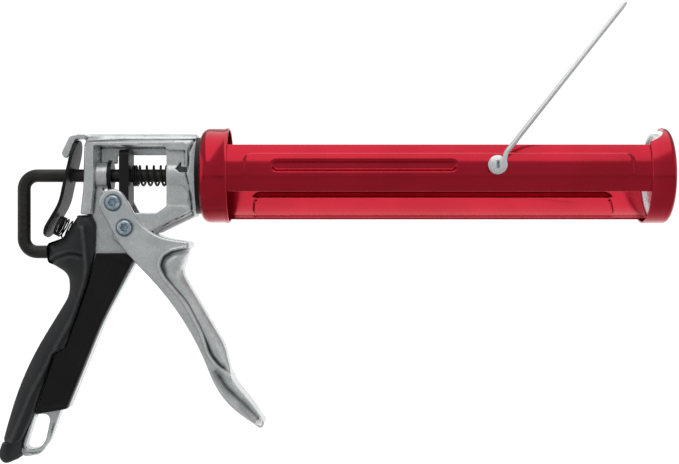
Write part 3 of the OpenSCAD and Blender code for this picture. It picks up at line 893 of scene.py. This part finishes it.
def trigger():
    """The trigger casting, with its finger pad, rims and ribs in relief."""
    piece = casting_from("trigger_lever", "trigger_cast", [], [], 0.45, 1.0)
    v = vertices_mm(piece)
    half = 14.5
    wanted = trigger_half_width(v[:, [0, 2]], half)
    front = distance_to_line(v[:, [0, 2]], TRIGGER_FRONT)
    core = 8.3 * step(front, 3.0, 6.0)
    across = np.abs(v[:, 1])
    scale = (wanted - core) / (half - core)
    moved = np.where(across > core, core + (across - core) * scale, across)
    v[:, 1] = np.sign(v[:, 1]) * moved
    set_vertices_mm(piece, v)
    modifier = piece.modifiers.new("soften", "SMOOTH")
    modifier.factor = 0.35
    modifier.iterations = 1
    modifier = piece.modifiers.new("thin", "DECIMATE")
    modifier.ratio = 0.4
    apply_modifiers(piece)
    dress(piece, ["trigger_lever"], ALUMINIUM, 60)


frame_casting()
trigger()


# ---------------------------------------------------------------- grip

SOFT_OUTLINE = rounded([
    [-64.2, -22.6, 3], [-72.5, -23, 3], [-80.2, -35.5, 3], [-90, -39.2, 2.5],
    [-90.2, -49.6, 2.5], [-77.4, -56.5, 8], [-76.5, -68, 16], [-103.5, -112, 180],
    [-113, -145, 60], [-115, -153, 3], [-104, -152, 3], [-97.1, -137, 3],
    [-85.6, -101.8, 0.6], [-78.6, -98.6, 0.6], [-66.6, -64, 30], [-61.9, -45, 6], [-61.4, -28, 5],
])
SOFT_BACK = rounded([
    [-72.5, -23, 0], [-80.2, -35.5, 3], [-90, -39.2, 2.5], [-90.2, -49.6, 2.5], [-77.4, -56.5, 8],
    [-76.5, -68, 16], [-103.5, -112, 180], [-113, -145, 60], [-115, -153, 0],
])
SOFT_RIDGE = rounded([
    [-68.0, -30, 0], [-65.4, -56, 40], [-73.5, -80.5, 60], [-97.0, -124.0, 80], [-108.6, -151.5, 0],
])
THUMB_CREASE = rounded([[-89.5, -50.8, 0], [-84, -47.2, 8], [-74, -44.6, 10], [-68.4, -46.4, 0]])
INSERT_OUTLINE = rounded([
    [-60.6, -44.6, 0.4], [-45, -44.6, 0], [-39.2, -48.1, 1.5], [-57.6, -84, 200],
    [-77.6, -133.6, 0.5], [-95.4, -136.6, 0.4], [-84.6, -101.6, 0.4], [-78.3, -98.6, 0.4],
    [-66, -64, 30],
])
INSERT_FRONT = rounded([
    [-45, -44.6, 0], [-39.2, -48.1, 1.5], [-57.6, -84, 200], [-77.6, -133.6, 0],
])
BUMPER_OUTLINE = rounded([
    [-114.9, -153.1, 0.6], [-117.4, -160.0, 3.6], [-113.9, -165.8, 3.8],
    [-104.6, -161.9, 2.5], [-103.7, -151.4, 0.6],
])
BUMPER_OUTER = rounded([
    [-114.9, -153.1, 0], [-117.4, -160.0, 3.6], [-113.9, -165.8, 3.8],
    [-104.6, -161.9, 2.5], [-103.7, -151.4, 0],
])
SPRING_SEAT = (-77.3, 0.0, -31.9)
SPRING_LINE = (-0.9003, 0.0, 0.4352)


def spring_pocket():
    """The round pocket that the thumb spring sits in."""
    line, seat, side = np.array(SPRING_LINE), np.array(SPRING_SEAT), np.array([0, 1, 0])
    other = np.cross(line, side)
    angles = np.linspace(0, 2 * math.pi, 48, endpoint=False)
    return loft([
        [seat + line * t + 6.6 * (other * math.cos(a) + side * math.sin(a)) for a in angles]
        for t in (-0.1, 14)
    ])


def soft_half_width(points):
    """The soft grip's half thickness, from its side view."""
    back = distance_to_line(points, SOFT_BACK)
    ridge = distance_to_line(points, SOFT_RIDGE)
    crease = distance_to_line(points, THUMB_CREASE)
    edge = distance_to_line(points, SOFT_OUTLINE, True)
    behind = inside(points, np.concatenate([SOFT_BACK, SOFT_RIDGE[::-1]])) | (back < 0.05)
    share = back / np.maximum(back + ridge, 1e-6)
    bulge = 3.2 + 10.9 * np.sqrt(np.clip(1 - (1 - share) ** 1.7, 0, 1))
    flank = 14.1 - 2.2 * step(ridge, 0.2, 2.6) - np.minimum(0.18 * ridge, 1.9)
    half = np.where(behind, bulge, flank) + 0.35 * np.exp(-(ridge / 1.1) ** 2)
    top = step(points[:, 1], -58, -36)
    half -= top * round_edge(edge, 4.5, 3.2)
    half -= 1.6 * np.exp(-((crease + 0.2) / 1.1) ** 2)
    beak = step(-points[:, 0], 76, 90) * step(points[:, 1], -56, -50)
    half -= 3.4 * beak
    return half - round_edge(edge, 0.9, 0.7)


def insert_half_width(points):
    """The hard shell's half thickness, from its side view."""
    edge = distance_to_line(points, INSERT_OUTLINE, True)
    along = (points - [-39, -47]) @ unit(np.array([-39.0, -86.0]))
    across = (points - [-39, -47]) @ unit(np.array([86.0, -39.0]))
    half = 9.85 - round_edge(edge, 0.6, 0.6)
    half -= round_edge(distance_to_line(points, INSERT_FRONT), 3.2, 2.2) * step(along, 3, 9)
    panel = step(edge, 2.4, 3.0) * step(along, 5.0, 6.0)
    half -= 0.45 * panel
    for at in (-13.5, -9.5):
        half += 0.35 * panel * np.exp(-((across - at) / 0.7) ** 2)
    return half


def bumper_half_width(points):
    """The end cap's half thickness, from its side view."""
    edge = distance_to_line(points, BUMPER_OUTLINE, True)
    outer = distance_to_line(points, BUMPER_OUTER)
    return 11.4 - round_edge(outer, 5.0, 5.0) - round_edge(edge, 0.5, 0.4)


def grip():
    """The three moulded pieces of the handle."""
    soft = relief(SOFT_OUTLINE, soft_half_width, 0.85, (0.25, 0.6, 1.0), [SOFT_RIDGE, THUMB_CREASE])
    piece = make_piece("grip_soft_rear", *soft, ["grip_soft"], RUBBER, "soft_black", 50)
    cut(piece, [spring_pocket()])
    dress(piece, ["grip_soft"], RUBBER, 50)
    insert = relief(INSERT_OUTLINE, insert_half_width, 1.0, (0.2, 0.5, 0.9, 2.2, 2.6, 3.0))
    make_piece("grip_hard_shell", *insert, ["grip_insert"], PLASTIC, "hard_black", 50)
    bumper = relief(BUMPER_OUTLINE, bumper_half_width, 0.9, (0.15, 0.5, 1.0, 1.7, 2.6))
    make_piece("grip_end_bumper", *bumper, ["grip_bumper"], RUBBER, "soft_black", 50)


grip()


# ---------------------------------------------------------------- plates, springs, screws

def catch_plate():
    """The thumb plate: a bent strip with round ends and a hole for the rod."""
    line = rounded([
        [-71.2, 20.0, 0], [-76.9, -4.1, 120], [-79.5, -16.5, 30],
        [-87.3, -29.5, 14], [-89.9, -35.6, 0],
    ])
    line = resample(line, 0.9, closed=False)
    line[:, 0] -= 0.1
    length = np.concatenate([[0], np.cumsum(np.linalg.norm(np.diff(line, axis=0), axis=1))])
    total = length[-1]
    half, top_round, end_round = 13.5, 12.5, 6.5
    thickness = 1.9
    loops = []
    for point, s in zip(line, length):
        i = np.argmin(np.abs(length - s))
        along = unit(line[min(i + 1, len(line) - 1)] - line[max(i - 1, 0)])
        back = np.array([along[1], -along[0]])
        near_top = max(0, 1 - s / top_round)
        near_end = max(0, 1 - (total - s) / end_round)
        width = half * math.sqrt(max(0.02, 1 - max(near_top, near_end) ** 2))
        bevel = 0.35
        loop = []
        for y, depth in [
            (-width + bevel, 0), (-width, bevel), (-width, thickness - bevel),
            (-width + bevel, thickness), (width - bevel, thickness),
            (width, thickness - bevel), (width, bevel), (width - bevel, 0),
        ]:
            p = point + back * depth
            loop.append((p[0], y, p[1]))
        loops.append(loop)
    vertices, faces = loft(loops)
    piece = make_piece(
        "thumb_plate_bent", vertices, faces, ["catch_plate"], PLATE_STEEL, "black_steel"
    )
    hole = 4.3
    angles = np.linspace(0, 2 * math.pi, 40, endpoint=False)
    tool = loft([
        [(x, hole * math.cos(a), hole * math.sin(a)) for a in angles] for x in (-95, -65)
    ])
    cut(piece, [tool])
    dress(piece, ["catch_plate"], PLATE_STEEL)


def coil_path(start, direction, radius, plan, points_per_turn=28):
    """A helix along a direction; the plan is (turns, advance in mm per turn)."""
    direction = unit(np.array(direction, float))
    side = np.array([0.0, 1.0, 0.0])
    other = np.cross(direction, side)
    path, along, angle = [], 0.0, 0.0
    for turns, pitch in plan:
        steps = round(turns * points_per_turn)
        for _ in range(steps):
            spot = np.array(start, float) + direction * along
            path.append(spot + radius * (side * math.cos(angle) + other * math.sin(angle)))
            angle += 2 * math.pi / points_per_turn
            along += pitch / points_per_turn
    return path


def springs():
    """The wound return spring and thumb spring."""
    low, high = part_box("return_spring")
    wire = 0.7
    start = low.x / MM + wire
    plan = [(2.0, 1.45), (4.0, 4.0), (0.6, 1.5)]
    path = coil_path((start, 0, 0), (1, 0, 0), high.z / MM - wire, plan)
    finish = (SPRING_STEEL, "black_steel", 60)
    piece = make_piece("return_spring_wound", *tube(path, wire), ["return_spring"], *finish)
    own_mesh(piece)
    seat = np.array(SPRING_SEAT) + np.array(SPRING_LINE) * 0.5
    path = coil_path(seat, SPRING_LINE, 5.6, [(0.5, 0.6), (1.8, 2.2), (3.6, 0.92)], 40)
    piece = make_piece("thumb_spring_wound", *tube(path, 0.42), ["catch_spring"], *finish)
    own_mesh(piece)


def screw(name, node):
    """A domed screw with a six-lobed recess, and its shank through the fork."""
    low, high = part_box(node)
    x, z = (low.x + high.x) / 2 / MM, (low.z + high.z) / 2 / MM
    top, tail = low.y / MM, high.y / MM
    angles = np.linspace(0, 2 * math.pi, 72, endpoint=False)
    star = [2.15 + 0.34 * math.cos(6 * a) for a in angles]

    def loop(y, radius):
        radii = radius if isinstance(radius, list) else [radius] * len(angles)
        return [(x + r * math.cos(a), y, z + r * math.sin(a)) for r, a in zip(radii, angles)]

    loops = [loop(top + 2.6, [0.2] * 72), loop(top + 3.0, 0.9), loop(top + 3.2, 1.6)]
    loops += [loop(top + 1.4, [0.8 * s for s in star]), loop(top + 0.9, [s - 0.12 for s in star])]
    loops += [loop(top + 0.35, star), loop(top + 0.1, [s + 0.2 for s in star])]
    loops += [loop(top, 2.9), loop(top + 0.05, 3.3), loop(top + 0.25, 3.7)]
    loops += [loop(top + 0.6, 4.02), loop(top + 1.0, 4.1), loop(top + 1.45, 4.1)]
    loops += [loop(top + 1.5, 2.3), loop(tail, 2.3)]
    make_piece(name, *loft(loops), [node], ZINC, "zinc", 35)


WIRE_LENGTH = 120.3
WIRE_ANGLE = 51.7
WIRE_OUT = 29.1
RIVET_X = 166


def wire_frame(u, v, out):
    """A point beside the near panel, from the rivet: u forward, v up, out from the axis."""
    turn = math.radians(SIDE_ANGLE)
    y = -out * math.cos(turn) + v * math.sin(turn)
    z = out * math.sin(turn) + v * math.cos(turn)
    return (RIVET_X + u, y, z)


def pierce_wire():
    """The piercing wire: an eye round the rivet, a short crank and a long straight run."""
    wire, eye = 1.45, 3.68
    slope = math.radians(WIRE_ANGLE)
    bend = np.array([5.3, 7.6])
    tip = WIRE_LENGTH * np.array([math.cos(slope), math.sin(slope)])
    ring = [(eye * math.cos(a), eye * math.sin(a)) for a in np.linspace(-1.55 * math.pi, -0.02, 40)]
    neck = [(eye + 0.12, 1.2), (eye + 0.35, 3.2), (eye + 0.85, 5.4), tuple(bend)]
    along = unit(tip - bend)
    reach = np.linalg.norm(tip - bend)
    run = [tuple(bend + along * t) for t in np.linspace(1.2, reach, 30)]
    path = np.array([wire_frame(u, v, WIRE_OUT) for u, v in ring + neck + run])
    vertices, faces = tube(path, wire, 20)
    last = len(vertices) - 20
    for i in range(last, len(vertices)):
        vertices[i] = path[-1] + (vertices[i] - path[-1]) * 0.72
    make_piece("piercing_wire", vertices, faces, ["pierce_wire"], WIRE_ZINC, "zinc", 50)


def rivet():
    """The domed rivet with a short driving slot."""
    inner, top = 24.0, 32.35
    profile = [(inner, 1.9), (inner, 3.4), (25.0, 3.4), (25.1, 2.05), (30.72, 2.05), (30.75, 5.2)]
    profile += [(31.0, 5.38), (31.4, 5.3), (31.8, 4.7), (32.1, 3.6), (32.28, 2.0), (top, 0.3)]
    angles = np.linspace(0, 2 * math.pi, 60, endpoint=False)
    loops = [
        [wire_frame(r * math.cos(a), r * math.sin(a), out) for a in angles]
        for out, r in profile
    ]
    piece = make_piece("wire_rivet_head", *loft(loops), ["wire_rivet"], WIRE_ZINC, "zinc", 40)
    slot = [(27.5, 0.62, 1.8), (31.0, 0.7, 1.85), (31.5, 0.85, 2.3), (34.0, 0.95, 2.4)]
    corners = ((-1, -1), (1, -1), (1, 1), (-1, 1))
    cut(piece, [loft([
        [wire_frame(i * half, j * reach, out) for i, j in corners] for out, half, reach in slot
    ])])
    dress(piece, ["wire_rivet"], WIRE_ZINC, 40)


catch_plate()
springs()
pierce_wire()
rivet()
screw("pivot_screw_torx", "pivot_screw")
screw("drive_screw_torx", "drive_screw")

CAD_FINISH = {
    "rear_guide_bush": PLASTIC, "front_guide_bush": PLASTIC, "swivel_washer": PLASTIC,
    "swivel_sleeve": ZINC, "swivel_lock_ring": ZINC, "pivot_nut": ZINC, "drive_nut": ZINC,
    "drive_roller": PLATE_STEEL, "drive_plate_rear": PLATE_STEEL, "drive_plate_front": PLATE_STEEL,
    "push_rod": ROD_STEEL,
    "piston_disc": WIRE_ZINC, "piston_washer": WIRE_ZINC, "piston_nut": WIRE_ZINC,
}
for node, material in CAD_FINISH.items():
    NODES[node].data.materials.clear()
    NODES[node].data.materials.append(material)


# ---------------------------------------------------------------- stage, light, camera

def studio():
    """A pale floor that sweeps up into a backdrop, lit from within behind the gun."""
    below, reach, middle_x = 0.08, 7.0, 0.08
    floor_z = cad_box[0][2] - below
    depth, height, bend = 2.6, 3.2, 1.0
    profile = [(-reach, floor_z), (-0.4, floor_z), (0.0, floor_z), (depth - bend, floor_z)]
    for a in np.linspace(0, math.pi / 2, 14)[1:]:
        profile.append((depth - bend + bend * math.sin(a), floor_z + bend - bend * math.cos(a)))
    profile.append((depth, floor_z + height))
    vertices, faces = [], []
    for y, z in profile:
        vertices += [(-reach, y, z), (reach, y, z)]
    for i in range(len(profile) - 1):
        faces.append((2 * i, 2 * i + 1, 2 * i + 3, 2 * i + 2))
    mesh = bpy.data.meshes.new("studio_sweep")
    mesh.from_pydata(vertices, [], faces)
    sweep = bpy.data.objects.new("studio_sweep", mesh)
    bpy.context.scene.collection.objects.link(sweep)
    mesh.shade_smooth()
    material, tree, shader = new_material("pale_sweep", (0.22, 0.22, 0.22), 0.9)
    shader.inputs["Emission Color"].default_value = (1, 1, 1, 1)
    position = tree.nodes.new("ShaderNodeNewGeometry").outputs["Position"]
    split = tree.nodes.new("ShaderNodeSeparateXYZ")
    tree.links.new(position, split.inputs["Vector"])
    glow = remap(tree, split.outputs["Y"], 0.2, 0.98, -0.05, 0.42)
    off_centre = math_node(tree, "SUBTRACT", split.outputs["X"], middle_x)
    off_centre = math_node(tree, "ABSOLUTE", off_centre, 0)
    across = remap(tree, off_centre, 1, 0.25, 0.95, 1.4)
    above = remap(tree, split.outputs["Z"], 1, 0.35, 0.75, 1.5)
    glow = math_node(tree, "MULTIPLY", glow, math_node(tree, "MULTIPLY", across, above))
    tree.links.new(glow, shader.inputs["Emission Strength"])
    mesh.materials.append(material)


def softbox(name, place, target, size, power):
    """A rectangular area light that faces a point."""
    light = bpy.data.lights.new(name, "AREA")
    light.shape = "RECTANGLE"
    light.size, light.size_y = size
    light.energy = power
    lamp = bpy.data.objects.new(name, light)
    lamp.location = place
    lamp.rotation_euler = (Vector(target) - Vector(place)).to_track_quat("-Z", "Y").to_euler()
    bpy.context.scene.collection.objects.link(lamp)


def camera():
    """The photograph's view: level, square to the barrel, near enough to see its width."""
    data = bpy.data.cameras.new("camera")
    data.lens, data.sensor_width = 68.8, 36
    data.clip_start, data.clip_end = 0.01, 20
    view = bpy.data.objects.new("camera", data)
    view.location = (0.0782, -0.75, -0.0325)
    view.rotation_euler = (math.radians(90), 0, 0)
    bpy.context.scene.collection.objects.link(view)
    bpy.context.scene.camera = view


def world():
    """A dim grey room, so that metal has something darker to reflect."""
    made = bpy.data.worlds.new("studio")
    bpy.context.scene.world = made
    made.use_nodes = True
    background = made.node_tree.nodes["Background"]
    background.inputs["Color"].default_value = (0.62, 0.63, 0.65, 1)
    background.inputs["Strength"].default_value = 0.66


studio()
middle = ((cad_box[0][0] + cad_box[1][0]) / 2, 0, 0)
softbox("key_over", (0.1, -0.27, 1.05), (0.1, -0.27, 0), (1.15, 2.65), 8.4)
softbox("fill_left", (-1.3, -0.2, 0.15), middle, (1.2, 1.2), 1.8)
softbox("fill_right", (1.4, 0.05, 0.1), middle, (1.4, 1.2), 1.4)
camera()
world()
bpy.context.scene.view_settings.view_transform = "Standard"
bpy.context.scene.view_settings.look = "None"
